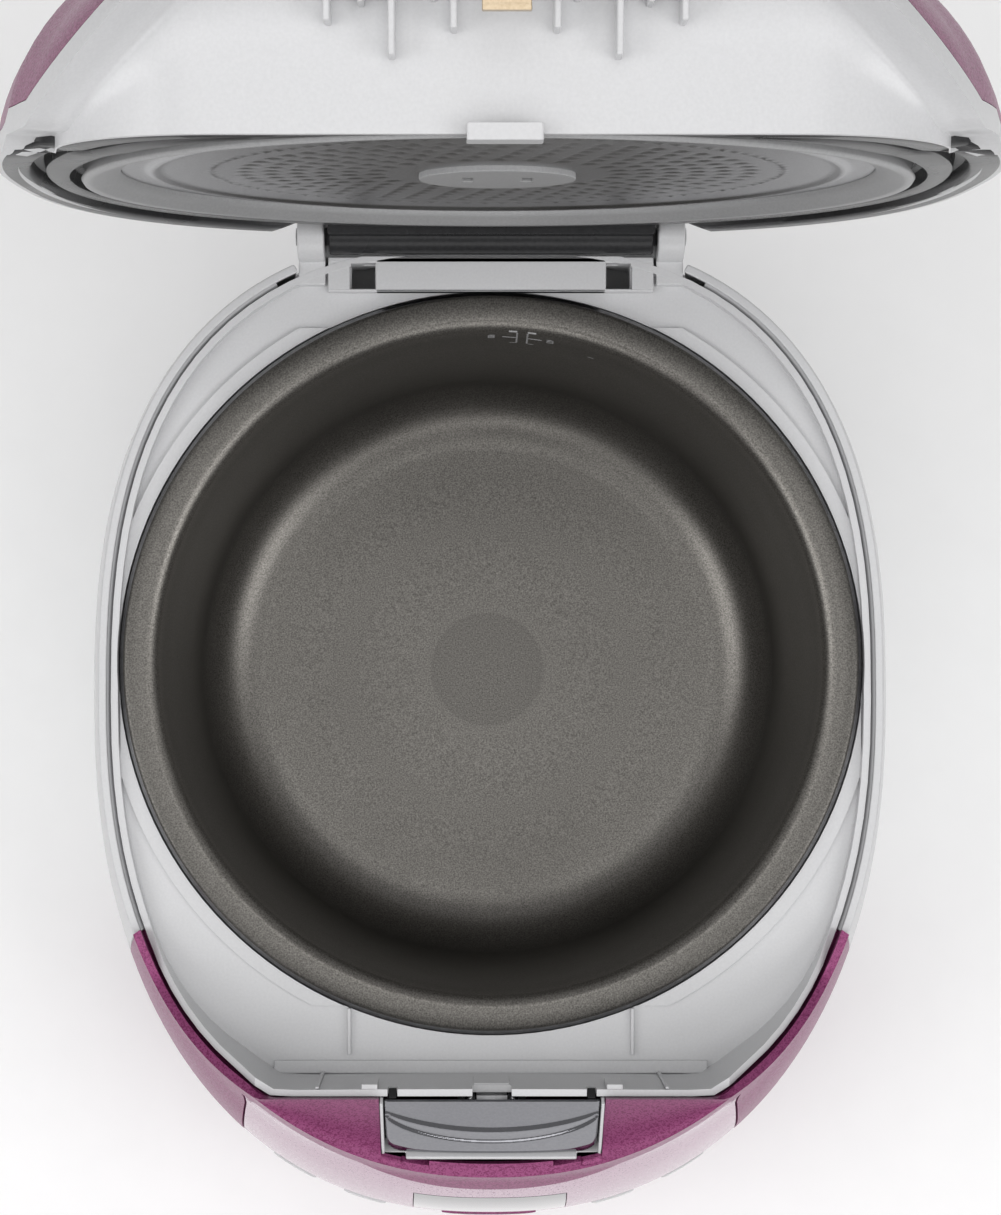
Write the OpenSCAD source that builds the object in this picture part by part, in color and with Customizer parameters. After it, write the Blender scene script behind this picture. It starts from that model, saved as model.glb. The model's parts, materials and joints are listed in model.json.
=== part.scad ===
// Six-cup electronic rice cooker with a hinged dome lid, shown with the lid open.
// Lengths are millimetres. Pieces are drawn round the pot's axis and then moved into place.
// The lid's pieces are drawn in the closed position, with heights counted from the parting plane.

/* [Body] */
// Height of the parting plane between body and lid
deck_z = 165; // [160:1:175]
// Height of the rubber feet
foot_h = 4; // [3:0.5:5]
// Half width of the body at the parting plane
half_w = 111.8; // [111:0.1:114]
// Half width of the body at its base
base_half_w = 104; // [100:1:108]
// How far the sides swell between base and parting plane
side_bulge = 11.5; // [8:0.5:14]
// Length of the front half at the parting plane
front_len = 137; // [135:1:139]
// Length of the front half at the base
base_front = 136; // [130:1:140]
// How far the front swells between base and parting plane
front_bulge = 23.2; // [20:0.1:26]
// Length of the rear half at the parting plane
rear_len = 132.5; // [131:0.5:134]
// Length of the rear half at the base
base_rear = 122; // [118:1:126]
// How far the rear swells between base and parting plane
rear_bulge = 7.5; // [5:0.5:9]
// Thickness of the moulded walls
wall = 2.4; // [2:0.1:2.8]

/* [Pot] */
// Radius of the pot's rim flange
pot_flange_r = 105; // [104:0.5:105]
// Inner radius of the pot's wall at the top
pot_in_r = 95; // [93:0.5:95]
// Inner height of the pot below its rim
pot_depth = 98; // [94:1:100]
// Thickness of the pot's sheet
pot_wall = 2.2; // [1.8:0.1:2.4]

/* [Lid] */
// Height of the closed dome above the parting plane
dome_h = 70; // [66:1:74]
// Angle at which the open lid stands
lid_open = 84; // [80:1:86]
// Distance of the hinge axis behind the pot's axis
hinge_back = 121.3; // [121:0.1:122]
// Height of the white band round the lid's edge
band_h = 5.5; // [4:0.5:7]
// Radius of the detachable inner plate
plate_r = 88; // [86:0.5:88]

/* [Front] */
// How far the fascia's middle rises above the parting plane
fascia_rise = 30; // [28:1:31]
// Half width at which the fascia ends on each side
seam_x = 101.5; // [101:0.1:102]
// Height of the scoop's lip above the parting plane, on the centre line
lip_low = 5; // [4:0.5:7]
// Width of the open button
button_w = 58.8; // [56:0.2:59]
// Travel of the panel's keys
key_travel = 1; // [0.6:0.1:1.2]

/* [Hidden] */

white = [0.90, 0.90, 0.91];
purple = [0.55, 0.22, 0.42];
steel = [0.75, 0.75, 0.77];
dark = [0.16, 0.16, 0.17];

$fn = 96;
pot_y = -5.4;            // pot's axis behind the origin, which centres the whole object
centre_y = -10;          // centre of the oval plan, from the pot's axis
plan_front = 2.3;        // roundness of the oval's front half: 2 is an ellipse
plan_rear = 2.6;
side_round = 2.2;        // roundness of the dome seen from the front
front_round = 1.6;       // roundness of the dome's front slope
base_z = foot_h;
shell_low = base_z + 2.5;
lean = 0.31;             // how far the fascia's wall leans in for each unit of height
edge_y = -119.5;         // straight top edge of the fascia
recess_y = -100.7;       // front face of the lid's recess wall
recess_half = 58;        // half width of that wall's straight stretch
recess_out = 93;         // half width at which the wall ends
lid_gap = 0.9;           // gap between lid and body when closed
flange_z = deck_z - 1;   // top of the pot's rim
pot_floor = flange_z - pot_depth;
plate_top = pot_floor - pot_wall - 0.3;
can_r = 100;
can_floor = 44;
slope = 46.8;            // tilt of the open button's face
button_low = 25.5;       // length of the button down its slope
notch_half = 5.4;        // half width of the notch that the lid's strike enters
lever_y = -121.9;        // latch lever's pivot
lever_z = 178;
vent_y = 40;             // steam vent's centre, behind the pot's axis
vent_h = 66.5;
vent_tilt = 8;
sensor_r = 17;

// ---- small helpers ----
function lerp(a, b, s) = a + (b - a) * s;
function ease(s) = let (k = min(1, max(0, s))) k * k * (3 - 2 * k);
function spow(v, e) = sign(v) * pow(abs(v), e);
function mirrored(v) = [for (i = [len(v) - 1:-1:1]) -v[i]];
function both_sides(v) = concat(mirrored(v), v);

module at_body() { translate([0, pot_y, 0]) children(); }
module at_lid() {
    translate([0, pot_y + hinge_back, deck_z]) rotate([-lid_open, 0, 0])
        translate([0, -hinge_back, 0]) children();
}
module at_button() { translate([0, edge_y - 1.4, deck_z + 28]) rotate([slope, 0, 0]) children(); }
module at_vent() { translate([0, vent_y, vent_h]) rotate([-vent_tilt, 0, 0]) children(); }

// A closed skin between two grids of points. Rows run upwards and columns run
// anticlockwise seen from above. keep says which cells are solid.
module skin(outer, inner, wrap = false, cap = false, keep = undef) {
    rows = len(outer);
    cols = len(outer[0]);
    cells = wrap ? cols : cols - 1;
    n = rows * cols;
    function next(j) = (j + 1) % cols;
    function solid(i, j) = i < 0 || i >= rows - 1 ? false
        : wrap ? (keep == undef ? true : keep[i][(j + cells) % cells])
        : j < 0 || j >= cells ? false : (keep == undef ? true : keep[i][j]);
    function quad(a, b, c, d) = [[a, b, c], [a, c, d]];
    faces = [for (i = [0:rows - 2]) for (j = [0:cells - 1]) if (solid(i, j))
        let (a = i * cols + j, b = i * cols + next(j), c = b + cols, d = a + cols)
            each concat(
                quad(a, d, c, b),
                quad(a + n, b + n, c + n, d + n),
                solid(i - 1, j) ? [] : quad(a, b, b + n, a + n),
                solid(i + 1, j) || (cap && i == rows - 2) ? [] : quad(c, d, d + n, c + n),
                solid(i, j + 1) ? [] : quad(b, c, c + n, b + n),
                solid(i, j - 1) ? [] : quad(d, a, a + n, d + n))];
    top = (rows - 1) * cols;
    caps = cap ? [[for (j = [cols - 1:-1:0]) top + j], [for (j = [0:cols - 1]) top + n + j]] : [];
    polyhedron(concat([for (r = outer) each r], [for (r = inner) each r]), concat(faces, caps));
}

// ---- body surface: an oval that swells between its base and the parting plane ----
function level(z) = (z - base_z) / (deck_z - base_z);
function swell(z) = 4 * level(z) * (1 - level(z));
function half_x(z) = lerp(base_half_w, half_w, level(z)) + side_bulge * swell(z);
function half_front(z) = lerp(base_front, front_len, level(z)) + front_bulge * swell(z);
function half_rear(z) = lerp(base_rear, rear_len, level(z)) + rear_bulge * swell(z);

// Point on the oval at angle t and height z, moved in by d
function oval(t, z, d = 0) =
    let (n = sin(t) < 0 ? plan_front : plan_rear, b = sin(t) < 0 ? half_front(z) : half_rear(z))
    [(half_x(z) - d) * spow(cos(t), 2 / n), centre_y + (b - d) * spow(sin(t), 2 / n), z];

// Point on the front at a share c of the half width
function front(c, z, d = 0) =
    [(half_x(z) - d) * c,
     centre_y - (half_front(z) - d) * pow(max(0, 1 - pow(abs(c), plan_front)), 1 / plan_front), z];

// ---- fascia's top edge, which the lid's front edge follows ----
function plan_y(x) = front(x / half_w, deck_z)[1];
function rise(x) = abs(x) > seam_x + 0.1 ? 0 : min(fascia_rise, 3 + 0.87 * max(0, 96 - abs(x)));
function lid_rise(x) = abs(x) > seam_x ? max(0, 3 - 1.5 * (abs(x) - seam_x)) : rise(x);
function edge(x) = [x, max(plan_y(x) + lean * rise(x), edge_y), rise(x)];
function lip_h(x) = min(lip_low + (fascia_rise - lip_low) * pow(x / 66, 2), rise(x) - 1.2);

// Front face of the lid's recess wall
function recess(x) = abs(x) <= recess_half ? recess_y
    : recess_y + 31 * (1 - sqrt(max(0, 1 - pow((abs(x) - recess_half) / 35, 2))));

// ---- lid surface: from its lower edge at angle t up to the crown ----
function oval_x(t) = oval(t, deck_z)[0];
function is_front(t) = sin(t) < 0;
function rear_rise(t) = 8.5 * (is_front(t) ? 0 : ease((62 - abs(oval_x(t))) / 6));
function lid_edge(t) =
    let (p = oval(t, deck_z), x = p[0])
    is_front(t) ? [x, abs(x) <= seam_x ? edge(x)[1] : p[1], lid_rise(x) + lid_gap]
                : [x, p[1], lid_gap + rear_rise(t)];
function round_at(t) = lerp(side_round, front_round, is_front(t) ? ease(-1.3 * sin(t) - 0.3) : 0);
function lid_skin(t, a, d = 0) =
    let (e = lid_edge(t), n = round_at(t), f = pow(cos(a), 2 / n) * (1 - d / half_w), g = pow(sin(a), 2 / n))
    [e[0] * f, centre_y + (e[1] - centre_y) * f, e[2] + (dome_h - d - e[2]) * g];
function band_angle(t) = asin(pow(band_h / (dome_h - lid_edge(t)[2]), round_at(t) / 2));
// Inner border of the lid's rim
function rim_lip(t) =
    let (e = lid_edge(t), x = 0.916 * e[0], k = 1 - 5 / half_w,
         plain = [e[0] * k, centre_y + (e[1] - centre_y) * k, e[2]],
         w = is_front(t) ? ease((107 - abs(e[0])) / 5.5) : 0)
    lerp(plain, [x, recess(min(recess_out, abs(x))), e[2]], w);

// Angles round the lid, with one at each corner of the front edge's rise
lid_t = concat([for (i = [0:5:200]) i], [206.52, 212.93, 219, 225, 231, 237.59],
    [for (i = [243:6:297]) i], [302.41, 309, 315, 321, 327.07, 333.48], [for (i = [340:5:355]) i]);

// ---- outer body ----
module base_cover() {
    color(white) at_body() difference() {
        translate([0, 0, base_z]) linear_extrude(2.4)
            polygon([for (t = [0:6:354]) let (p = oval(t, base_z, 0.4)) [p[0], p[1]]]);
        for (x = [-30:10:30]) translate([x - 1.5, -20, base_z - 1]) cube([3, 50, 5]);
        for (p = screw_places) translate([p[0], p[1], base_z - 1]) cylinder(h = 5, r = 2.1);
    }
}

foot_places = [[-70, -92], [70, -92], [-72, 66], [72, 66]];
screw_places = [[-46, -104], [46, -104], [-80, 36], [80, 36]];
module foot(i) {
    color(dark) at_body() translate([foot_places[i][0], foot_places[i][1], 0]) {
        cylinder(h = 1, r1 = 8.2, r2 = 9);
        translate([0, 0, 1]) cylinder(h = foot_h - 1, r = 9);
    }
}
module foot_front_left() { foot(0); }
module foot_front_right() { foot(1); }
module foot_rear_left() { foot(2); }
module foot_rear_right() { foot(3); }

module base_screws() {
    color(steel) at_body() for (p = screw_places) translate([p[0], p[1], base_z - 2]) {
        cylinder(h = 2, r = 4);
        cylinder(h = 14, r = 1.9);
    }
}

seam_t = acos(pow(seam_x / half_w, plan_front / 2));
side_t = [90, 84, 78, 72, 66, 62, 55, 48, 40, 30, 20, 10, 0, -10, -19, -seam_t + 0.2];
shell_t = concat([for (i = [len(side_t) - 1:-1:1]) side_t[i]], [for (t = side_t) 180 - t]);
shell_z = [shell_low, 16, 42, 66, 90, 112, 132, 148, 157, deck_z];
module outer_shell() {
    middle = len(side_t) - 1;
    keep = [for (i = [0:len(shell_z) - 2]) [for (j = [0:len(shell_t) - 2])
        let (t = (shell_t[j] + shell_t[j + 1]) / 2)
        !(i >= 6 && t > 66 && t < 114) && !(i == 1 && t > 62 && t < 78)]];
    color(white) at_body() skin(
        [for (z = shell_z) [for (t = shell_t) oval(t, z)]],
        [for (z = shell_z) [for (t = shell_t) oval(t, z, wall)]], keep = keep);
}

// ---- purple fascia: a leaning wall, a lip and a scoop behind the lip ----
fascia_x = both_sides([0, 10, 20, 31, 40, 50, 58, 65, 69, 74, 80, 86, 91, 96, seam_x]);
fascia_z = [shell_low, 24, 44, 66, 88, 112, 138, 162];
scoop_rows = [0, 0.2, 0.45, 0.7, 1];
panel_x = 64;
function scoop(x, s, sag) =
    let (e = edge(x), h = lip_h(x), low = [x, plan_y(x) + lean * h, h])
    [x, lerp(low[1], e[1], s), lerp(h, e[2], s) - sag * 4 * s * (1 - s) * (1 - h / rise(x))] + [0, 0, deck_z];
function fascia_in(x) =
    let (w = ease((abs(x) - 58) / 12), y = plan_y(x) - centre_y, r = norm([x, y]))
    lerp([0, 0.2, -2.2], [-wall * x / r, -wall * y / r, 0], w);
module front_fascia() {
    low = [for (z = fascia_z) [for (x = fascia_x) front(x / half_w, z)]];
    low_in = [for (z = fascia_z) [for (x = fascia_x) front(x / half_w, z, wall)]];
    high = [for (s = scoop_rows) [for (x = fascia_x) scoop(x, s, 5)]];
    high_in = [for (s = scoop_rows) [for (x = fascia_x)
        scoop(x, s, 5) + lerp(fascia_in(x), [0, wall, -1], s == 0 && abs(x) < 60 ? 1 : 0)]];
    mid = [[for (x = fascia_x) front(x / half_w, deck_z)]];
    mid_in = [[for (x = fascia_x) front(x / half_w, deck_z, wall)]];
    n_low = len(fascia_z);
    keep = [for (i = [0:n_low + 4]) [for (j = [0:len(fascia_x) - 2])
        let (x = (fascia_x[j] + fascia_x[j + 1]) / 2)
        !(i >= 4 && i <= 6 && abs(x) < panel_x) && !(i >= n_low + 1 && abs(x) < 31)]];
    color(purple) at_body() skin(concat(low, mid, high), concat(low_in, mid_in, high_in), keep = keep);
}

// ---- control panel, its display and its keys ----
panel_cols = both_sides([0, 14, 22, 29, 42, 49, 62, panel_x - 0.5]);
panel_rows = [88.5, 95, 104, 113, 120, 134, 148, 155, 161.5];
function is_key(x) = abs(x) < 14 || (abs(x) > 29 && abs(x) < 42) || (abs(x) > 49 && abs(x) < 62);
module control_panel() {
    keep = [for (i = [0:len(panel_rows) - 2]) [for (j = [0:len(panel_cols) - 2])
        let (x = (panel_cols[j] + panel_cols[j + 1]) / 2)
        !(i == 2 && is_key(x)) && !((i == 4 || i == 5) && abs(x) < 22)]];
    color([0.82, 0.80, 0.82]) at_body() skin(
        [for (z = panel_rows) [for (x = panel_cols) front(x / half_w, z, 0.2)]],
        [for (z = panel_rows) [for (x = panel_cols) front(x / half_w, z, 2.2)]], keep = keep);
}
module patch(x0, x1, z0, z1, d0, d1) {
    xs = [x0, (x0 + x1) / 2, x1];
    zs = [z0, (z0 + z1) / 2, z1];
    skin([for (z = zs) [for (x = xs) front(x / half_w, z, d0)]],
         [for (z = zs) [for (x = xs) front(x / half_w, z, d1)]]);
}
module key(x0, x1) { at_body() patch(x0 + 0.5, x1 - 0.5, 104.5, 112.5, -0.6, 3); }
module key_start() { color(purple) key(-14, 14); }
module key_menu() { color(white) key(-42, -29); }
module key_timer() { color(white) key(-62, -49); }
module key_keep_warm() { color(white) key(29, 42); }
module key_cancel() { color(white) key(49, 62); }
module display_lens() { color([0.1, 0.1, 0.12]) at_body() patch(-21.6, 21.6, 120.4, 147.6, 0.2, 1.8); }
module at_board() { translate([0, -143.5, 126]) rotate([-15, 0, 0]) children(); }
module display_module() {
    color([0.3, 0.35, 0.3]) at_body() at_board() translate([-20, -9, -5]) cube([40, 6.5, 24]);
}
module control_board() {
    color([0.1, 0.4, 0.2]) at_body() at_board() translate([-46, 0, -36]) cube([92, 1.6, 66]);
}

// ---- open button and latch ----
pin_y = -3.4;            // pivot of the open button, in the button's own frame
pin_z = -2.6;
arm_x = 27.3;            // arms that carry the button's pivot pins
arm_w = 2.1;
module button_bezel() {
    half = button_w / 2 + 0.5;
    color(white) at_body() difference() {
        at_button() difference() {
            translate([-half - 0.9, -button_low - 1.7, -6.2]) cube([2 * half + 1.8, button_low + 1.7, 6.6]);
            translate([-half, -button_low - 0.5, -7]) cube([2 * half, button_low + 2, 9]);
            translate([-half - 2, pin_y, pin_z]) rotate([0, 90, 0])
                cylinder(h = 2 * half + 4, r = 1.25, $fn = 32);
        }
        translate([-40, edge_y, 150]) cube([80, 20, 60]);
        for (s = [-1, 1]) translate([s * 28 - 4, -142, 150]) cube([8, 4.2, 60]);
    }
}
module open_button() {
    half = button_w / 2;
    color(steel) at_body() at_button() {
        translate([-half, -button_low, -1.2]) cube([button_w, button_low, 1.2]);
        for (s = [-1, 1]) {
            translate([s * arm_x - arm_w / 2, -6, -5.6]) cube([arm_w, 5.4, 4.6]);
            translate([s > 0 ? arm_x : -arm_x - 3.4, pin_y, pin_z]) rotate([0, 90, 0])
                cylinder(h = 3.4, r = 1.2, $fn = 32);
        }
    }
    // Stem that pushes the latch lever's lower arm
    color(steel) at_body() {
        translate([-3, -132.5, 167]) cube([6, 10.5, 2.4]);
        translate([-3, -132.5, 167]) cube([6, 2, 12.6]);
    }
}
module latch_bracket() {
    color(dark) at_body() difference() {
        union() {
            for (s = [-1, 1]) translate([s * 8.5 - 1, -126, 160]) cube([2, 6.8, 22]);
            translate([-9.5, -126, 157.5]) cube([19, 6.8, 3]);
        }
        translate([-12, lever_y, lever_z]) rotate([0, 90, 0]) cylinder(h = 24, r = 1.2, $fn = 32);
    }
}
module latch_pin() {
    color(steel) at_body() translate([-9.5, lever_y, lever_z]) rotate([0, 90, 0])
        cylinder(h = 19, r = 1.2, $fn = 32);
}
module latch_lever() {
    color(dark) at_body() difference() {
        union() {
            translate([-4.2, -121.6, 166]) cube([8.4, 1, 22.7]);
            translate([-4.2, -121.6, 187.6]) cube([8.4, 2.1, 1.1]);
            translate([-4.2, lever_y, lever_z]) rotate([0, 90, 0]) cylinder(h = 8.4, r = 2.2, $fn = 32);
        }
        translate([-12, lever_y, lever_z]) rotate([0, 90, 0]) cylinder(h = 24, r = 1.25, $fn = 32);
    }
}
module latch_spring() {
    color(steel) at_body() for (s = [-1, 1]) translate([s * 5.9 - 1.3, lever_y, lever_z]) rotate([0, 90, 0])
        difference() {
            cylinder(h = 2.6, r = 2.2, $fn = 32);
            translate([0, 0, -1]) cylinder(h = 5, r = 1.5, $fn = 32);
        }
}

// ---- white deck between the pot and the lid's edge ----
function deck_point(t) =
    let (p = oval(t, deck_z, 3.4), x = oval_x(t), w = ease((abs(x) - 58) / 14), e = edge(x),
         inset = 0.3 + 2.9 * w, r = norm([e[0], e[1] - centre_y]))
    is_front(t) && abs(x) <= seam_x
        ? [e[0] * (1 - inset / r), e[1] + (centre_y - e[1]) * inset / r]
        : [p[0], p[1]];
function inward(p, d) = let (v = [p[0], p[1] - centre_y]) p - v * d / norm(v);
deck_t = [for (t = [0:4:356]) t];
module deck_outline(d) { polygon([for (t = deck_t) inward(deck_point(t), d)]); }
module deck_frame() {
    roof = [[-130, 150], [130, 150], [130, 163.6], [98, 163.6], [96, 164.4], [65, 191.4],
        [-65, 191.4], [-96, 164.4], [-98, 163.6], [-130, 163.6]];
    color(white) at_body() difference() {
        union() {
            translate([0, 0, 157]) linear_extrude(3) deck_outline(0.4);
            intersection() {
                translate([0, 0, 152]) linear_extrude(45) difference() { deck_outline(0); deck_outline(2); }
                union() {
                    rotate([90, 0, 0]) linear_extrude(160) polygon(roof);
                    translate([-130, -0.1, 150]) cube([260, 160, 13.6]);
                }
            }
            difference() {
                translate([0, 0, 159]) cylinder(h = 2.2, r = 110.5);
                translate([-130, -130, 150]) cube([260, 32, 30]);
                translate([-130, 96, 150]) cube([260, 40, 30]);
                translate([106, -130, 150]) cube([30, 260, 30]);
                translate([-136, -130, 150]) cube([30, 260, 30]);
            }
        }
        translate([0, 0, 140]) cylinder(h = 40, r = 106.6);
        for (s = [-1, 1]) translate([s * 36.5 - 3.4, 106.9, 150]) cube([6.8, 7.1, 20]);
        translate([-56, 116, 140]) cube([112, 30, 40]);
        translate([-notch_half, -125, 184]) cube([2 * notch_half, 12, 12]);
        for (s = [-1, 1]) translate([s * arm_x - arm_w / 2 - 0.3, -125, 186]) cube([arm_w + 0.6, 12, 12]);
    }
}

// ---- cooking well ----
module inner_can() {
    color(steel) at_body() difference() {
        union() {
            translate([0, 0, can_floor]) cylinder(h = 160 - can_floor, r = can_r);
            translate([0, 0, 160]) cylinder(h = 1.7, r = 106);
        }
        translate([0, 0, can_floor + 1]) cylinder(h = 140, r = can_r - 1);
        translate([0, 0, can_floor - 1]) cylinder(h = 10, r = 21);
    }
}
module side_heater() {
    color("goldenrod") at_body() translate([0, 0, 82]) difference() {
        cylinder(h = 46, r = can_r + 1.4);
        translate([0, 0, -1]) cylinder(h = 48, r = can_r + 0.2);
    }
}
module can_posts() {
    color(dark) at_body() for (a = [30, 150, 270]) rotate([0, 0, a]) {
        translate([82, 0, base_z + 2.4]) cylinder(h = can_floor - base_z - 2.4, r = 4.5);
        translate([74, 0, can_floor + 1]) cylinder(h = plate_top - 8 - can_floor - 1, r = 4);
    }
}
module heating_plate() {
    color(steel) at_body() difference() {
        translate([0, 0, plate_top - 8]) cylinder(h = 8, r = 82);
        translate([0, 0, plate_top - 12]) cylinder(h = 20, r = 18.2);
    }
}
module sheath_heater() {
    color([0.4, 0.4, 0.42]) at_body() translate([0, 0, plate_top - 12])
        rotate_extrude() translate([62, 0]) circle(r = 3.9, $fn = 32);
}
module sensor_holder() {
    color(dark) at_body() difference() {
        union() {
            translate([0, 0, can_floor - 3]) cylinder(h = 3, r = 26);
            translate([0, 0, can_floor - 12]) cylinder(h = 12, r = 15);
        }
        translate([0, 0, can_floor - 10]) cylinder(h = 20, r = 13);
    }
}
module sensor_spring() {
    color(steel) at_body() translate([0, 0, can_floor - 9.7]) difference() {
        cylinder(h = plate_top - can_floor + 6.4, r = 8);
        translate([0, 0, -1]) cylinder(h = 40, r = 6.8);
    }
}
module sensor_cap() {
    color(steel) at_body() difference() {
        union() {
            translate([0, 0, plate_top - 3]) cylinder(h = 3, r = sensor_r);
            translate([0, 0, can_floor + 3.6]) cylinder(h = plate_top - can_floor - 5, r = 12.2);
        }
        translate([0, 0, can_floor + 3]) cylinder(h = plate_top - can_floor - 6, r = 11);
    }
}
module thermal_fuse() {
    color(white) at_body() translate([38, 0, 41]) rotate([0, 90, 90]) cylinder(h = 16, r = 2.8, center = true);
}

// ---- electrics under the well ----
module power_board() {
    color([0.1, 0.4, 0.2]) at_body() {
        translate([-60, -62, 12]) cube([76, 54, 1.6]);
        for (x = [-56, 12], y = [-58, -12]) translate([x, y, base_z + 2.4])
            cylinder(h = 12 - base_z - 2.4, r = 2.5);
    }
}
module transformer() { color([0.8, 0.7, 0.3]) at_body() translate([-54, -56, 13.8]) cube([30, 26, 24]); }
module relay() { color("royalblue") at_body() translate([-16, -54, 13.8]) cube([20, 16, 15]); }
module capacitors() {
    color("navy") at_body() for (x = [-14, 2]) translate([x, -24, 13.8]) cylinder(h = 20, r = 6.5);
}
inlet_x = 47.2;
module inlet_socket() {
    color(dark) at_body() translate([inlet_x, 0, 29]) difference() {
        translate([-12.2, 88, -11.8]) cube([24.4, 20, 23.6]);
        translate([-10.2, 92, -9.8]) cube([20.4, 20, 19.6]);
    }
}
module inlet_pins() {
    color("gold") at_body() for (p = [[-6, -2], [0, 3], [6, -2]])
        translate([inlet_x + p[0] - 1, 92, 29 + p[1] - 2]) cube([2, 11, 4]);
}

// ---- hinge ----
module hinge_housing() {
    profile = [[104, 133], [126, 133], [129.5, 140], [130, 150], [129, 159.2],
        [116.2, 159.2], [116.2, 151.7], [104, 151.7]];
    color(white) at_body() difference() {
        union() {
            translate([-54.8, 0, 0]) rotate([90, 0, 90]) linear_extrude(109.6) polygon(profile);
            for (s = [-1, 1]) translate([s * 51 - 3.8, hinge_back, deck_z]) {
                rotate([0, 90, 0]) cylinder(h = 7.6, r = 7);
                translate([0, -7, -12]) cube([7.6, 14, 12]);
            }
        }
        translate([-60, hinge_back, deck_z]) rotate([0, 90, 0]) cylinder(h = 120, r = 2.5);
        translate([-51, 107, 136]) cube([102, 18, 17]);
    }
}
module hinge_pin() {
    color(steel) at_body() translate([-55.4, hinge_back, deck_z]) rotate([0, 90, 0]) cylinder(h = 110.8, r = 2.5);
}
module hinge_springs() {
    color(steel) at_body() for (s = [-1, 1]) translate([s * 41.5 - 3.5, hinge_back, deck_z]) rotate([0, 90, 0])
        difference() {
            cylinder(h = 7, r = 4);
            translate([0, 0, -1]) cylinder(h = 9, r = 3);
        }
}
module dew_tray() {
    color([0.8, 0.8, 0.82, 0.6]) at_body() difference() {
        translate([-30, 126.4, 96]) cube([60, 20, 32]);
        translate([-28.2, 128.2, 98]) cube([56.4, 16.4, 32]);
    }
}

// ---- pot ----
function pot_line(d) = concat([[0, pot_floor - d], [70.5, pot_floor - d]],
    [for (a = [80:-10:0]) [70.5 + (20 + d) * cos(a), pot_floor + 20 - (20 + d) * sin(a)]],
    [[pot_in_r + d, flange_z - 4]]);
module inner_pot() {
    inside = concat(pot_line(0), [[96.4, flange_z - 1], [98, flange_z]]);
    outside = concat(pot_line(pot_wall), [[98.5, flange_z - 2], [pot_flange_r, flange_z - 2]]);
    color([0.25, 0.24, 0.23]) at_body() rotate_extrude(angle = 360)
        polygon(concat(inside, [[pot_flange_r, flange_z]], [for (i = [len(outside) - 1:-1:0]) outside[i]]));
}

// ---- lid shells ----
lid_rows = [for (i = [0:9]) i / 9];
module lid_cover() {
    function turn(t, s) = lerp(band_angle(t), 88.2, s);
    color(purple) at_lid() difference() {
        skin([for (s = lid_rows) [for (t = lid_t) lid_skin(t, turn(t, s))]],
             [for (s = lid_rows) [for (t = lid_t) lid_skin(t, turn(t, s), wall)]], wrap = true, cap = true);
        at_vent() translate([0, 0, -12]) cylinder(h = 24, r = 25.2);
    }
}
module lid_rim() {
    up = [0, 0, 1.8];
    color(white) at_lid() skin(
        [[for (t = lid_t) rim_lip(t)], [for (t = lid_t) lid_edge(t)],
         [for (t = lid_t) lid_skin(t, band_angle(t) * 0.7)], [for (t = lid_t) lid_skin(t, band_angle(t))]],
        [[for (t = lid_t) rim_lip(t) + up], [for (t = lid_t) lid_skin(t, 0, 2) + up],
         [for (t = lid_t) lid_skin(t, band_angle(t) * 0.7, 2)], [for (t = lid_t) lid_skin(t, band_angle(t), 2)]],
        wrap = true);
}
function frame_point(t, d) =
    let (p = rim_lip(t), q = inward([p[0], p[1]], d)) is_front(t) ? [q[0], max(q[1], recess_y + d)] : q;
module frame_outline(d) { polygon([for (t = lid_t) frame_point(t, d)]); }
ribs = [[34.5, 21.5], [28, 25], [22, 15], [10, 20]];
module lid_frame() {
    xs = both_sides([0, recess_half, 65, 72, 79, 85, 89, recess_out - 0.2]);
    band = concat([for (x = xs) [x, recess(x)]],
        [for (i = [len(xs) - 1:-1:0]) [xs[i] * 0.978, recess(xs[i]) + 2]]);
    top = fascia_rise + lid_gap;
    roof = [[-93, 0.8], [93, 0.8], [93, 3.4], [88, 3.4], [59.5, top], [-59.5, top], [-88, 3.4], [-93, 3.4]];
    color(white) at_lid() difference() {
        union() {
            translate([0, 0, 9.2]) linear_extrude(2) frame_outline(2.2);
            intersection() {
                linear_extrude(40) polygon(band);
                rotate([90, 0, 0]) linear_extrude(240, center = true) polygon(roof);
            }
            for (r = ribs, s = [-1, 1]) translate([s * r[0] - 0.8, recess_y - 8, r[1]]) cube([1.6, 9, top - r[1]]);
        }
        translate([0, 0, 5]) cylinder(h = 10, r = 20);
        translate([0, vent_y - 7.7, 5]) cylinder(h = 10, r = 14);
        translate([-52, 96, 5]) cube([104, 40, 10]);
    }
}
module inner_cover() {
    color(dark) at_lid() difference() {
        translate([0, 0, 0.9]) linear_extrude(7.9) frame_outline(3.4);
        intersection() {
            linear_extrude(6.4) frame_outline(6.8);
            difference() {
                translate([0, 0, -1]) cylinder(h = 9, r = 150);
                translate([0, 0, -2]) cylinder(h = 12, r = 99.4);
            }
        }
        translate([0, 0, -1]) cylinder(h = 20, r = 97.5);
        translate([-47.5, 110.6, -1]) cube([95, 30, 20]);
    }
}
module lid_hinge() {
    color(dark) at_lid() difference() {
        union() {
            translate([-46, hinge_back, 0]) rotate([0, 90, 0]) cylinder(h = 92, r = 5);
            translate([-46, hinge_back - 10, 0]) cube([92, 10, 5]);
            translate([-30, hinge_back - 10, 0]) cube([60, 4, 12]);
            translate([-30, hinge_back - 21, 9.6]) cube([60, 15, 2.4]);
        }
        translate([-50, hinge_back, 0]) rotate([0, 90, 0]) cylinder(h = 100, r = 2.56);
        for (s = [-1, 1]) translate([s * 41.5 - 4, hinge_back, 0]) rotate([0, 90, 0]) cylinder(h = 8, r = 4.3);
    }
}
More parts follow.
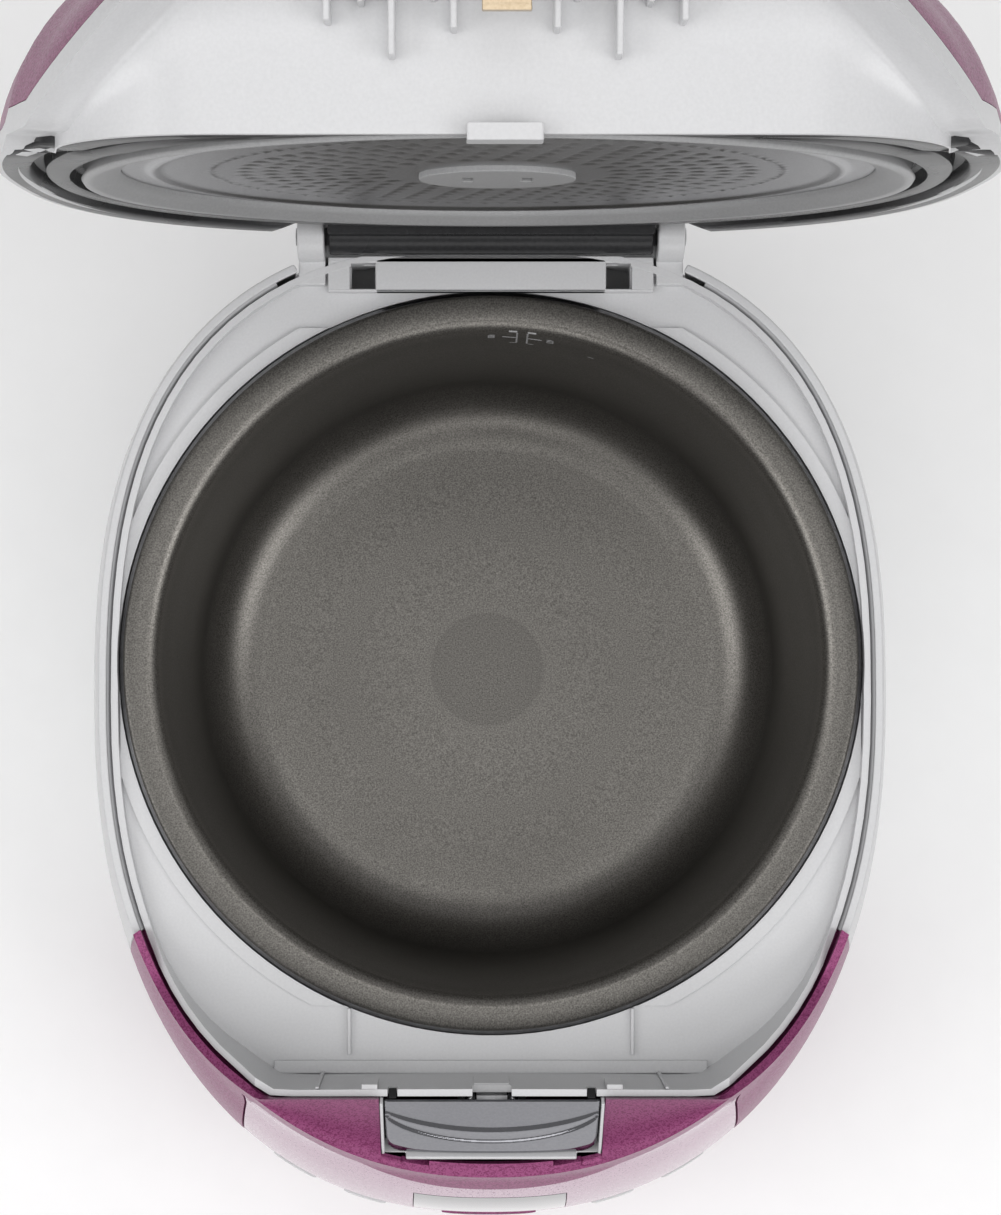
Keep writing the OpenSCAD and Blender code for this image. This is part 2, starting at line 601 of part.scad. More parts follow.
module lid_heater_plate() { color(steel) at_lid() translate([0, 0, 7.2]) cylinder(h = 1.2, r = 84); }
module lid_sensor() { color(steel) at_lid() translate([0, -48, 11.3]) cylinder(h = 6, r = 7); }
module latch_strike() {
    color([0.72, 0.60, 0.40]) at_lid() {
        translate([-4.7, -119.1, 21.2]) cube([9.4, 0.8, fascia_rise + lid_gap - 21.2]);
        translate([-4.7, -120.2, 21.2]) cube([9.4, 1.9, 1]);
    }
}
module plate_clip() {
    color(white) at_lid() {
        translate([-7.5, -104.6, -0.7]) cube([15, 7.2, 1]);
        translate([-7.5, -104.6, -0.7]) cube([15, 1.4, 3.4]);
    }
}

// ---- steam vent ----
module vent_seat() {
    color(white) at_lid() at_vent() difference() {
        union() {
            translate([0, 0, -9]) cylinder(h = 9, r = 25);
            translate([0, 0, -53]) cylinder(h = 46, r = 11);
        }
        translate([0, 0, -7]) cylinder(h = 20, r = 23.4);
        translate([0, 0, -60]) cylinder(h = 70, r = 9.4);
    }
}
module steam_cap_base() {
    color(white) at_lid() at_vent() difference() {
        union() {
            translate([0, 0, -6.6]) cylinder(h = 5.2, r = 22);
            translate([0, 0, -22]) cylinder(h = 16, r = 9);
        }
        translate([0, 0, -5]) cylinder(h = 10, r = 20.4);
        translate([0, 0, -23]) cylinder(h = 40, r = 6);
    }
}
module steam_cap_top() {
    color(steel) at_lid() at_vent() difference() {
        union() {
            translate([0, 0, -1.4]) cylinder(h = 2.2, r = 23);
            translate([0, 0, -4.6]) cylinder(h = 4, r = 20.1);
        }
        translate([0, 0, -5]) cylinder(h = 4, r = 18.4);
        for (x = [-9:6:9]) translate([x - 1.2, -8, -5]) cube([2.4, 16, 10]);
    }
}

// ---- detachable inner plate ----
module inner_plate() {
    color(steel) at_lid() difference() {
        union() {
            translate([0, 0, 4.2]) cylinder(h = 1, r = plate_r);
            translate([0, 0, 4.2]) difference() {
                cylinder(h = 1.8, r = 81.5);
                translate([0, 0, -1]) cylinder(h = 4, r = 79.5);
            }
        }
        translate([0, 0, 3]) cylinder(h = 5, r = 18.6);
    }
}
module plate_gasket() {
    color([0.72, 0.72, 0.72]) at_lid() rotate_extrude()
        polygon([[plate_r + 0.1, 3.2], [92, 2.8], [94.2, 0.9], [96.4, 0.7], [97, 1.6], [95.6, 3.6],
            [96.8, 5.2], [96.8, 6.8], [plate_r + 0.1, 6.8]]);
}
module plate_boss() {
    color([0.6, 0.6, 0.6]) at_lid() difference() {
        union() {
            translate([0, 0, 2.8]) cylinder(h = 3.6, r = 18.5);
            translate([0, 0, 6.2]) cylinder(h = 0.8, r = 21);
        }
        for (s = [-1, 1]) translate([s * 7, 0, 0]) cube([2.4, 9, 30], center = true);
    }
}

base_cover();
foot_front_left();
foot_front_right();
foot_rear_left();
foot_rear_right();
outer_shell();
front_fascia();
control_panel();
display_lens();
display_module();
control_board();
key_start();
key_menu();
key_timer();
key_keep_warm();
key_cancel();
button_bezel();
open_button();
latch_bracket();
latch_pin();
latch_lever();
latch_spring();
deck_frame();
inner_can();
side_heater();
can_posts();
heating_plate();
sheath_heater();
sensor_holder();
sensor_spring();
sensor_cap();
thermal_fuse();
power_board();
transformer();
relay();
capacitors();
inlet_socket();
inlet_pins();
hinge_housing();
hinge_pin();
hinge_springs();
dew_tray();
base_screws();
inner_pot();
lid_cover();
lid_rim();
lid_frame();
inner_cover();
lid_hinge();
lid_heater_plate();
latch_strike();
plate_clip();
vent_seat();
steam_cap_base();
steam_cap_top();
inner_plate();
plate_gasket();
plate_boss();
lid_sensor();
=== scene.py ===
"""Looks of the rice cooker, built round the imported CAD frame. Lengths in the shape
functions are millimetres, counted from the pot's axis; lid shapes are drawn closed."""

import json
import math

import bpy
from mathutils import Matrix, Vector


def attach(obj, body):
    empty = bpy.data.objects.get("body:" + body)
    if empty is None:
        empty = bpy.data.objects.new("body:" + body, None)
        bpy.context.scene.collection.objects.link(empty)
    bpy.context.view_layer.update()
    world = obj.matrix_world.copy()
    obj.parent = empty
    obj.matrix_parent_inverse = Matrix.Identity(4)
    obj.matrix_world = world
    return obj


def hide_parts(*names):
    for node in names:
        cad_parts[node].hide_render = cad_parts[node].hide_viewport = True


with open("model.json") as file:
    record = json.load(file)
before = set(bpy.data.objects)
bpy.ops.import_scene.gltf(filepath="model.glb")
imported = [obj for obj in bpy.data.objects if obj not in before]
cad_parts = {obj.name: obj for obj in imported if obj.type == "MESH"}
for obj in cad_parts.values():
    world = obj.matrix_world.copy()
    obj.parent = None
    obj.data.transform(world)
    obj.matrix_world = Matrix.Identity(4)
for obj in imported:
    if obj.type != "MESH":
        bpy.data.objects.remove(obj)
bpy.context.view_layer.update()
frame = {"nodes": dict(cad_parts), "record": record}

POT_Y = -5.4
DECK_Z = 165.0
BASE_Z = 4.0
HALF_W = 111.8
HINGE_BACK = 121.3
LID_OPEN = 84.0
CENTRE_Y = -10.0
EDGE_Y = -119.5
SEAM_X = 101.5
FASCIA_RISE = 30.0
LIP_LOW = 5.0
LEAN = 0.31
RECESS_Y = -100.7
RECESS_HALF = 58.0
RECESS_OUT = 93.0
LID_GAP = 0.6
DOME_H = 70.0
BAND_H = 5.5
WALL = 2.4
FLANGE_Z = 164.0
POT_FLOOR = 66.0


# ---------------------------------------------------------------- camera
camera_data = bpy.data.cameras.new("camera")
camera_data.sensor_width = 36.0
camera_data.lens = 73.4
camera_data.shift_x = 40.5 / 1215
camera_data.shift_y = 105.5 / 1215
camera_data.clip_start = 0.02
camera = bpy.data.objects.new("camera", camera_data)
camera.location = (-0.0088, (POT_Y - 14.2) / 1000, 0.870)
bpy.context.scene.collection.objects.link(camera)
bpy.context.scene.camera = camera


# ---------------------------------------------------------------- placing
def at_body(p):
    return (p[0] / 1000, (p[1] + POT_Y) / 1000, p[2] / 1000)


def at_lid(p):
    a = math.radians(-LID_OPEN)
    y, h = p[1] - HINGE_BACK, p[2]
    return (
        p[0] / 1000,
        (y * math.cos(a) - h * math.sin(a) + HINGE_BACK + POT_Y) / 1000,
        (y * math.sin(a) + h * math.cos(a) + DECK_Z) / 1000,
    )


def smooth_shade(obj, angle=35):
    mesh = obj.data
    mesh.polygons.foreach_set("use_smooth", [True] * len(mesh.polygons))
    mesh.set_sharp_from_angle(angle=math.radians(angle))


def bevel(obj, width_mm, segments=2, angle=35):
    mod = obj.modifiers.new("rounded edges", "BEVEL")
    mod.width = width_mm / 1000
    mod.segments = segments
    mod.limit_method = "ANGLE"
    mod.angle_limit = math.radians(angle)
    mod.harden_normals = True
    mod.use_clamp_overlap = True
    return mod


def make_piece(name, points, faces, place, body, material, slot, replaces=(), angle=35):
    """A mesh piece from millimetre points, riding on a body."""
    mesh = bpy.data.meshes.new(name)
    mesh.from_pydata([place(p) for p in points], [], faces)
    mesh.validate()
    mesh.update()
    obj = bpy.data.objects.new(name, mesh)
    bpy.context.scene.collection.objects.link(obj)
    smooth_shade(obj, angle)
    mesh.materials.append(material)
    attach(obj, body)
    if replaces:
        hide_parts(*replaces)
    return obj


def skin_mesh(outer, inner, wrap=False, keep=None, cap=False):
    """Points and faces of a closed skin between two grids; keep(i, j) masks cells."""
    rows, cols = len(outer), len(outer[0])
    cells = cols if wrap else cols - 1
    n = rows * cols

    def solid(i, j):
        if i < 0 or i >= rows - 1:
            return False
        if wrap:
            return True if keep is None else keep(i, j % cells)
        if j < 0 or j >= cells:
            return False
        return True if keep is None else keep(i, j)

    faces = []
    for i in range(rows - 1):
        for j in range(cells):
            if not solid(i, j):
                continue
            a, b = i * cols + j, i * cols + (j + 1) % cols
            c, d = b + cols, a + cols
            faces.append((a, b, c, d))
            faces.append((d + n, c + n, b + n, a + n))
            if not solid(i - 1, j):
                faces.append((a, a + n, b + n, b))
            if not solid(i + 1, j) and not (cap and i == rows - 2):
                faces.append((c, c + n, d + n, d))
            if not solid(i, j + 1):
                faces.append((b, b + n, c + n, c))
            if not solid(i, j - 1):
                faces.append((d, d + n, a + n, a))
    if cap:
        top = (rows - 1) * cols
        faces.append(tuple(top + j for j in range(cols)))
        faces.append(tuple(top + n + j for j in range(cols - 1, -1, -1)))
    points = [p for row in outer for p in row] + [p for row in inner for p in row]
    used = sorted({k for f in faces for k in f})
    index = {k: i for i, k in enumerate(used)}
    return [points[k] for k in used], [tuple(index[k] for k in f) for f in faces]


def lathe(profile, steps=128):
    """A closed profile of (radius, height) turned round the axis."""
    n = len(profile)
    points = []
    for k in range(steps):
        a = 2 * math.pi * k / steps
        points += [(r * math.cos(a), r * math.sin(a), z) for r, z in profile]
    faces = []
    for k in range(steps):
        m = (k + 1) % steps
        for i in range(n):
            j = (i + 1) % n
            quad = [k * n + i, m * n + i, m * n + j, k * n + j]
            if profile[i][0] < 1e-6:
                quad = [k * n + i, m * n + j, k * n + j]
            if profile[j][0] < 1e-6:
                quad = [k * n + i, m * n + i, k * n + j]
            if not (profile[i][0] < 1e-6 and profile[j][0] < 1e-6):
                faces.append(tuple(quad))
    return points, faces


def lerp(a, b, s):
    return tuple(x + (y - x) * s for x, y in zip(a, b)) if isinstance(a, tuple) else a + (b - a) * s


def ease(s):
    k = min(1.0, max(0.0, s))
    return k * k * (3 - 2 * k)


def spow(v, e):
    return math.copysign(abs(v) ** e, v)


# ---------------------------------------------------------------- body surface
def level(z):
    return (z - BASE_Z) / (DECK_Z - BASE_Z)


def swell(z):
    return 4 * level(z) * (1 - level(z))


def half_x(z):
    return 104 + (HALF_W - 104) * level(z) + 11.5 * swell(z)


def half_front(z):
    return 136 + (137 - 136) * level(z) + 23.2 * swell(z)


def half_rear(z):
    return 122 + (132.5 - 122) * level(z) + 7.5 * swell(z)


def oval(t, z, d=0.0):
    t = math.radians(t)
    front_side = math.sin(t) < 0
    n = 2.3 if front_side else 2.6
    b = half_front(z) if front_side else half_rear(z)
    return ((half_x(z) - d) * spow(math.cos(t), 2 / n),
            CENTRE_Y + (b - d) * spow(math.sin(t), 2 / n), z)


def front(c, z, d=0.0):
    return ((half_x(z) - d) * c,
            CENTRE_Y - (half_front(z) - d) * max(0.0, 1 - abs(c) ** 2.3) ** (1 / 2.3), z)


def plan_y(x):
    return front(x / HALF_W, DECK_Z)[1]


def rise(x):
    return 0.0 if abs(x) > SEAM_X + 0.1 else min(FASCIA_RISE, 3 + 0.87 * max(0.0, 96 - abs(x)))


def lid_rise(x):
    return max(0.0, 3 - 1.5 * (abs(x) - SEAM_X)) if abs(x) > SEAM_X else rise(x)


def edge(x):
    return (x, max(plan_y(x) + LEAN * rise(x), EDGE_Y), rise(x))


def lip_h(x):
    return min(LIP_LOW + (FASCIA_RISE - LIP_LOW) * (x / 66) ** 2, rise(x) - 1.2)


def recess(x):
    if abs(x) <= RECESS_HALF:
        return RECESS_Y
    return RECESS_Y + 31 * (1 - math.sqrt(max(0.0, 1 - ((abs(x) - RECESS_HALF) / 35) ** 2)))


# ---------------------------------------------------------------- lid surface
def is_front(t):
    return math.sin(math.radians(t)) < 0


def lid_edge(t):
    p = oval(t, DECK_Z)
    x = p[0]
    if is_front(t):
        return (x, edge(x)[1] if abs(x) <= SEAM_X else p[1], lid_rise(x) + LID_GAP)
    return (x, p[1], LID_GAP + 8.5 * ease((62 - abs(x)) / 6))


def round_at(t):
    return 1.95 + (1.6 - 1.95) * (ease(-1.3 * math.sin(math.radians(t)) - 0.3) if is_front(t) else 0)


def lid_skin(t, a, d=0.0):
    e, n = lid_edge(t), round_at(t)
    f = math.cos(math.radians(a)) ** (2 / n) * (1 - d / HALF_W)
    g = math.sin(math.radians(a)) ** (2 / n)
    return (e[0] * f, CENTRE_Y + (e[1] - CENTRE_Y) * f, e[2] + (DOME_H - d - e[2]) * g)


def band_angle(t):
    return math.degrees(math.asin((BAND_H / (DOME_H - lid_edge(t)[2])) ** (round_at(t) / 2)))


def rim_lip(t):
    e = lid_edge(t)
    x, k = 0.916 * e[0], 1 - 5 / HALF_W
    plain = (e[0] * k, CENTRE_Y + (e[1] - CENTRE_Y) * k, e[2])
    w = ease((107 - abs(e[0])) / 5.5) if is_front(t) else 0.0
    return lerp(plain, (x, recess(min(RECESS_OUT, abs(x))), e[2]), w)


# ---------------------------------------------------------------- materials
def new_material(name):
    material = bpy.data.materials.new(name)
    material.use_nodes = True
    return material, material.node_tree.nodes, material.node_tree.links


def noise_node(nodes, links, scale, detail=4.0, kind="ShaderNodeTexNoise", stretch=None):
    coords = nodes.new("ShaderNodeTexCoord")
    texture = nodes.new(kind)
    texture.inputs["Scale"].default_value = scale
    if "Detail" in texture.inputs:
        texture.inputs["Detail"].default_value = detail
    if stretch:
        mapping = nodes.new("ShaderNodeMapping")
        mapping.inputs["Scale"].default_value = stretch
        links.new(coords.outputs["Object"], mapping.inputs["Vector"])
        links.new(mapping.outputs["Vector"], texture.inputs["Vector"])
    else:
        links.new(coords.outputs["Object"], texture.inputs["Vector"])
    return texture


def ramp_node(nodes, links, source, stops):
    ramp = nodes.new("ShaderNodeValToRGB")
    ramp.color_ramp.elements[0].position = stops[0][0]
    ramp.color_ramp.elements[0].color = (*stops[0][1], 1)
    ramp.color_ramp.elements[1].position = stops[-1][0]
    ramp.color_ramp.elements[1].color = (*stops[-1][1], 1)
    for position, colour in stops[1:-1]:
        ramp.color_ramp.elements.new(position).color = (*colour, 1)
    links.new(source, ramp.inputs["Fac"])
    return ramp


def range_node(nodes, links, source, low, high, start=0.3, end=0.7):
    node = nodes.new("ShaderNodeMapRange")
    node.inputs["From Min"].default_value = start
    node.inputs["From Max"].default_value = end
    node.inputs["To Min"].default_value = low
    node.inputs["To Max"].default_value = high
    links.new(source, node.inputs["Value"])
    return node


def surface(name, dark, light, rough, metallic=0.0, grain=900.0, cloud=14.0, bump=0.03,
            coat=0.0, coat_rough=0.05, specular=0.5, stretch=None, spread=(0.35, 0.65),
            depth_mm=0.05, fine_mix=0.5):
    """Moulded, painted or metal surface: cloudy and fine-grained colour, roughness and bump."""
    material, nodes, links = new_material(name)
    shader = nodes["Principled BSDF"]
    shader.inputs["Metallic"].default_value = metallic
    shader.inputs["Specular IOR Level"].default_value = specular
    shader.inputs["Coat Weight"].default_value = coat
    shader.inputs["Coat Roughness"].default_value = coat_rough
    fine = noise_node(nodes, links, grain, 3.0, stretch=stretch)
    broad = noise_node(nodes, links, cloud, 3.0)
    mixed = nodes.new("ShaderNodeMix")
    mixed.inputs["Factor"].default_value = fine_mix
    links.new(broad.outputs["Fac"], mixed.inputs["A"])
    links.new(fine.outputs["Fac"], mixed.inputs["B"])
    colour = ramp_node(nodes, links, mixed.outputs["Result"], [(spread[0], dark), (spread[1], light)])
    links.new(colour.outputs["Color"], shader.inputs["Base Color"])
    gloss = range_node(nodes, links, broad.outputs["Fac"], rough[0], rough[1])
    links.new(gloss.outputs["Result"], shader.inputs["Roughness"])
    relief = nodes.new("ShaderNodeBump")
    relief.inputs["Strength"].default_value = bump
    relief.inputs["Distance"].default_value = depth_mm / 1000
    links.new(fine.outputs["Fac"], relief.inputs["Height"])
    links.new(relief.outputs["Normal"], shader.inputs["Normal"])
    return material


def flake_paint(name, deep, lit, flake, rough, coat=1.0, metallic=0.55, specular=0.5):
    """Metallic paint: fine cells of slightly different brightness under a clear coat."""
    material, nodes, links = new_material(name)
    shader = nodes["Principled BSDF"]
    shader.inputs["Metallic"].default_value = metallic
    shader.inputs["Specular IOR Level"].default_value = specular
    shader.inputs["Coat Weight"].default_value = coat
    shader.inputs["Coat Roughness"].default_value = 0.04
    cells = noise_node(nodes, links, 2600.0, kind="ShaderNodeTexVoronoi")
    fine = noise_node(nodes, links, 1500.0, 2.0)
    split = nodes.new("ShaderNodeSeparateColor")
    links.new(cells.outputs["Color"], split.inputs["Color"])
    colour = ramp_node(nodes, links, split.outputs["Red"],
                       [(0.0, deep), (0.75, lit), (1.0, flake)])
    links.new(colour.outputs["Color"], shader.inputs["Base Color"])
    gloss = range_node(nodes, links, fine.outputs["Fac"], rough[0], rough[1])
    links.new(gloss.outputs["Result"], shader.inputs["Roughness"])
    relief = nodes.new("ShaderNodeBump")
    relief.inputs["Strength"].default_value = 0.12
    relief.inputs["Distance"].default_value = 0.00004
    links.new(split.outputs["Green"], relief.inputs["Height"])
    links.new(relief.outputs["Normal"], shader.inputs["Normal"])
    return material


def paint_ring_light_and_shade(material, stops):
    """Paints rings of light and shade into the colour by distance from the pot's axis; stops are (radius in
    mm, brightness).
    """
    nodes, links = material.node_tree.nodes, material.node_tree.links
    shader = nodes["Principled BSDF"]
    colour = shader.inputs["Base Color"].links[0].from_socket
    coords = nodes.new("ShaderNodeTexCoord")
    offset = nodes.new("ShaderNodeVectorMath")
    offset.operation = "SUBTRACT"
    offset.inputs[1].default_value = (0.0, POT_Y / 1000, 0.0)
    links.new(coords.outputs["Object"], offset.inputs[0])
    flat = nodes.new("ShaderNodeVectorMath")
    flat.operation = "MULTIPLY"
    flat.inputs[1].default_value = (1.0, 1.0, 0.0)
    links.new(offset.outputs["Vector"], flat.inputs[0])
    radius = nodes.new("ShaderNodeVectorMath")
    radius.operation = "LENGTH"
    links.new(flat.outputs["Vector"], radius.inputs[0])
    share = range_node(nodes, links, radius.outputs["Value"], 0.0, 1.0, 0.0, 0.11)
    tones = ramp_node(nodes, links, share.outputs["Result"], [(r / 110, (v, v, v)) for r, v in stops])
    mix = nodes.new("ShaderNodeMix")
    mix.data_type = "RGBA"
    mix.blend_type = "MULTIPLY"
    mix.inputs["Factor"].default_value = 1.0
    links.new(colour, mix.inputs["A"])
    links.new(tones.outputs["Color"], mix.inputs["B"])
    links.new(mix.outputs["Result"], shader.inputs["Base Color"])


FINISH = {
    "white_plastic": surface("white moulded plastic", (0.56, 0.56, 0.57), (0.61, 0.61, 0.62),
                             (0.30, 0.40), coat=0.15, grain=1400, bump=0.05),
    "purple_metallic": flake_paint("purple metallic paint", (0.125, 0.014, 0.068),
                                   (0.180, 0.028, 0.100), (0.27, 0.06, 0.165), (0.32, 0.44), coat=0.12,
                                   metallic=0.4, specular=0.25),
    "panel_film": flake_paint("pearl film", (0.40, 0.25, 0.33), (0.45, 0.29, 0.38),
                              (0.50, 0.34, 0.43), (0.25, 0.38), coat=0.6, metallic=0.35),
    "display": surface("dark display lens", (0.012, 0.012, 0.016), (0.02, 0.02, 0.026),
                       (0.05, 0.09), coat=1.0, grain=600, bump=0.01),
    "dark_plastic": surface("glossy charcoal plastic", (0.020, 0.020, 0.021), (0.032, 0.032, 0.034),
                            (0.22, 0.32), specular=0.22, grain=900, bump=0.04),
    "black_plastic": surface("matt black plastic", (0.012, 0.012, 0.013), (0.025, 0.025, 0.026),
                             (0.45, 0.6), grain=1500, bump=0.2),
    "chrome": surface("polished chrome", (0.62, 0.62, 0.64), (0.70, 0.70, 0.72), (0.05, 0.09),
                      metallic=1.0, grain=1200, bump=0.01),
    "non_stick": surface("speckled non-stick coating", (0.085, 0.080, 0.072), (0.28, 0.265, 0.245),
                         (0.34, 0.42), metallic=0.75, grain=2200, cloud=20, bump=0.3,
                         spread=(0.30, 0.72), fine_mix=0.85, depth_mm=0.05),
    "aluminium": surface("satin aluminium", (0.34, 0.34, 0.35), (0.46, 0.46, 0.47), (0.30, 0.42),
                         metallic=1.0, grain=1800, bump=0.12),
    "steel": surface("brushed steel", (0.40, 0.40, 0.41), (0.58, 0.58, 0.59), (0.25, 0.38),
                     metallic=1.0, grain=700, bump=0.12, stretch=(1, 1, 14)),
    "brass": surface("tan plated metal", (0.42, 0.33, 0.22), (0.56, 0.46, 0.33), (0.28, 0.4),
                     metallic=0.7, grain=1500, bump=0.08),
    "rubber": surface("black rubber", (0.012, 0.012, 0.012), (0.03, 0.03, 0.03), (0.65, 0.8),
                      grain=1800, bump=0.3),
    "silicone": surface("grey silicone", (0.30, 0.30, 0.305), (0.37, 0.37, 0.375), (0.38, 0.5),
                        grain=1400, bump=0.08),
    "circuit_board": surface("green solder mask", (0.006, 0.05, 0.018), (0.015, 0.10, 0.035),
                             (0.25, 0.4), grain=300, bump=0.1, coat=0.3),
    "clear_plastic": surface("smoky clear plastic", (0.52, 0.52, 0.54), (0.62, 0.62, 0.64),
                             (0.12, 0.2), coat=0.4, grain=500, bump=0.02),
}


# Chrome darkened with painted shade for the open button
SHADED_CHROME = surface("chrome darkened as painted shade", (0.26, 0.26, 0.28), (0.31, 0.31, 0.33), (0.05, 0.09),
                        metallic=1.0, grain=1200, bump=0.01)


def dress(obj, material, width_mm=0.0, angle=35):
    """A CAD node keeps its shape and gets a finish, welded shading and softened edges."""
    mesh = obj.data
    mesh.materials.clear()
    mesh.materials.append(material)
    if "custom_normal" in mesh.attributes:
        mesh.attributes.remove(mesh.attributes["custom_normal"])
    weld = obj.modifiers.new("welded", "WELD")
    weld.merge_threshold = 0.00001
    if width_mm:
        bevel(obj, width_mm, 2, angle)
    mesh.polygons.foreach_set("use_smooth", [True] * len(mesh.polygons))
    mesh.set_sharp_from_angle(angle=math.radians(angle))


BEVELS = {"deck_frame": 0.7, "hinge_housing": 0.8, "lid_frame": 0.6, "inner_cover": 0.8,
          "button_bezel": 0.35, "dew_tray": 0.8, "plate_clip": 0.5, "latch_strike": 0.2,
          "steam_cap_top": 0.5, "vent_seat": 0.4, "plate_boss": 0.4, "lid_hinge": 0.5,
          "inlet_socket": 0.8, "base_cover": 0.6, "latch_bracket": 0.3, "open_button": 0.15}
slots = {s["node"]: s["material_slot"] for s in frame["record"]["subparts"]}
for name, obj in frame["nodes"].items():
    dress(obj, FINISH[slots[name]], BEVELS.get(name, 0.0))


# ---------------------------------------------------------------- fine pieces
def add_block(points, faces, low, high):
    """Adds a box between two corners to a piece's points and faces."""
    a = len(points)
    (x0, y0, z0), (x1, y1, z1) = low, high
    points.extend([(x0, y0, z0), (x1, y0, z0), (x1, y1, z0), (x0, y1, z0),
                   (x0, y0, z1), (x1, y0, z1), (x1, y1, z1), (x0, y1, z1)])
    faces.extend([(a, a + 3, a + 2, a + 1), (a + 4, a + 5, a + 6, a + 7), (a, a + 1, a + 5, a + 4),
                  (a + 1, a + 2, a + 6, a + 5), (a + 2, a + 3, a + 7, a + 6), (a + 3, a, a + 4, a + 7)])


def add_rod(points, faces, x0, x1, y, z, r, steps=24):
    """Adds a rod along X to a piece's points and faces."""
    a = len(points)
    for x in (x0, x1):
        for k in range(steps):
            turn = 2 * math.pi * k / steps
            points.append((x, y + r * math.cos(turn), z + r * math.sin(turn)))
    for k in range(steps):
        m = (k + 1) % steps
        faces.append((a + k, a + m, a + steps + m, a + steps + k))
    faces.append(tuple(a + k for k in reversed(range(steps))))
    faces.append(tuple(a + steps + k for k in range(steps)))


def spaced(stops, step):
    """Numbers from the first stop to the last, through every stop, about one step apart."""
    values = []
    for a, b in zip(stops, stops[1:]):
        n = max(1, round(abs(b - a) / step))
        values += [a + (b - a) * k / n for k in range(n)]
    return values + [stops[-1]]


def both_sides(values):
    return [-v for v in reversed(values[1:])] + list(values)


def middles(values):
    return [(a + b) / 2 for a, b in zip(values, values[1:])]


# Outer shell: white sides and back, open for the hinge housing and the mains inlet
SHELL_LOW = 6.5
seam_t = math.degrees(math.acos((SEAM_X / HALF_W) ** 1.15))
shell_t = spaced([-seam_t + 0.2, -19, 40, 62, 66, 78, 102, 114, 118, 140, 199, 180 + seam_t - 0.2], 2.4)
shell_z = spaced([SHELL_LOW, 16, 42, 132, DECK_Z], 5.0)
shell_tm, shell_zm = middles(shell_t), middles(shell_z)


def in_shell(i, j):
    t, z = shell_tm[j], shell_zm[i]
    return not (z > 132 and 66 < t < 114) and not (16 < z < 42 and 62 < t < 78)


shell_out = [[oval(t, z) for t in shell_t] for z in shell_z]
shell_in = [[oval(t, z, WALL) for t in shell_t] for z in shell_z]
shell = make_piece("outer_shell_fine", *skin_mesh(shell_out, shell_in, keep=in_shell), at_body,
                   "body", FINISH["white_plastic"], "white_plastic", ["outer_shell"])
bevel(shell, 0.6, 2, 50)

# Fascia: leaning wall, lip and concave scoop behind it
PANEL_X = 70.0
POCKET_X = 31.0


def scoop(x, s, sag=5.0):
    e, h = edge(x), lip_h(x)
    y0 = plan_y(x) + LEAN * h
    dip = sag * 4 * s * (1 - s) * (1 - h / rise(x))
    return (x, lerp(y0, e[1], s), lerp(h, e[2], s) - dip + DECK_Z)


def fascia_in(x):
    w = ease((abs(x) - 58) / 12)
    y = plan_y(x) - CENTRE_Y
    r = math.hypot(x, y)
    return lerp((0.0, 0.2, -2.2), (-WALL * x / r, -WALL * y / r, 0.0), w)


def scoop_in(x, s):
    p, d = scoop(x, s), fascia_in(x)
    if abs(x) < 60:
        d = lerp((0.0, WALL, -1.0), d, ease(s / 0.2))
    return (p[0] + d[0], p[1] + d[1], p[2] + d[2])


def wall_point(x, z, d=0.0):
    """Point on the fascia's outer face, which leans in above the parting plane."""
    if z <= DECK_Z:
        return front(x / HALF_W, z, d)
    y = plan_y(x) + LEAN * (z - DECK_Z)
    r = math.hypot(x, y - CENTRE_Y)
    return (x - d * x / r, y - d * (y - CENTRE_Y) / r, z)


def panel_top(x):
    """Height of the panel's upper border, a fixed distance below the lip."""
    return DECK_Z + lip_h(x) - 13.0


PANEL_LOW, PANEL_FLAT = 88.0, 150.0
fascia_x = both_sides(spaced([0, POCKET_X, 58, 65, PANEL_X, 96, SEAM_X], 2.0))
fascia_z = spaced([SHELL_LOW, 24, PANEL_LOW, PANEL_FLAT], 5.0)
scoop_s = [0, 0.02, 0.05, 0.1, 0.16, 0.22, 0.3, 0.38, 0.46, 0.54, 0.62, 0.7, 0.78, 0.86, 0.94, 1]
fascia_xm, fascia_zm, scoop_m = middles(fascia_x), middles(fascia_z), middles(scoop_s)
RISE_STEPS, LIP_STEPS = 4, 5
low_count = len(fascia_z) + RISE_STEPS + LIP_STEPS


def fascia_height(i, x):
    """Height of the fascia's row i at x: level rows, then rows up to the panel's border and the lip."""
    if i < len(fascia_z):
        return fascia_z[i]
    k = i - len(fascia_z) + 1
    if k <= RISE_STEPS:
        return lerp(PANEL_FLAT, panel_top(x), k / RISE_STEPS)
    return lerp(panel_top(x), DECK_Z + lip_h(x) - 0.15, (k - RISE_STEPS) / LIP_STEPS)


def pocket_s(x):
    """Share of the scoop's slope below which the purple skin runs on under the button."""
    return 0.17 - 0.14 * (x / POCKET_X) ** 2


def in_fascia(i, j):
    x = abs(fascia_xm[j])
    if i < len(fascia_z) - 1 + RISE_STEPS:
        in_rows = i >= len(fascia_z) - 1 or fascia_zm[i] > PANEL_LOW
        return not (in_rows and x < PANEL_X)
    k = i - low_count
    return not (k >= 0 and x < POCKET_X and scoop_m[k] > pocket_s(x))


fascia_out = [[wall_point(x, fascia_height(i, x)) for x in fascia_x] for i in range(low_count)]
fascia_out += [[scoop(x, s) for x in fascia_x] for s in scoop_s]
fascia_inner = [[wall_point(x, fascia_height(i, x), WALL) for x in fascia_x] for i in range(low_count)]
fascia_inner += [[scoop_in(x, s) for x in fascia_x] for s in scoop_s]
fascia = make_piece("front_fascia_fine", *skin_mesh(fascia_out, fascia_inner, keep=in_fascia), at_body,
                    "body", FINISH["purple_metallic"], "purple_metallic", ["front_fascia"], angle=50)
bevel(fascia, 0.35, 2, 60)

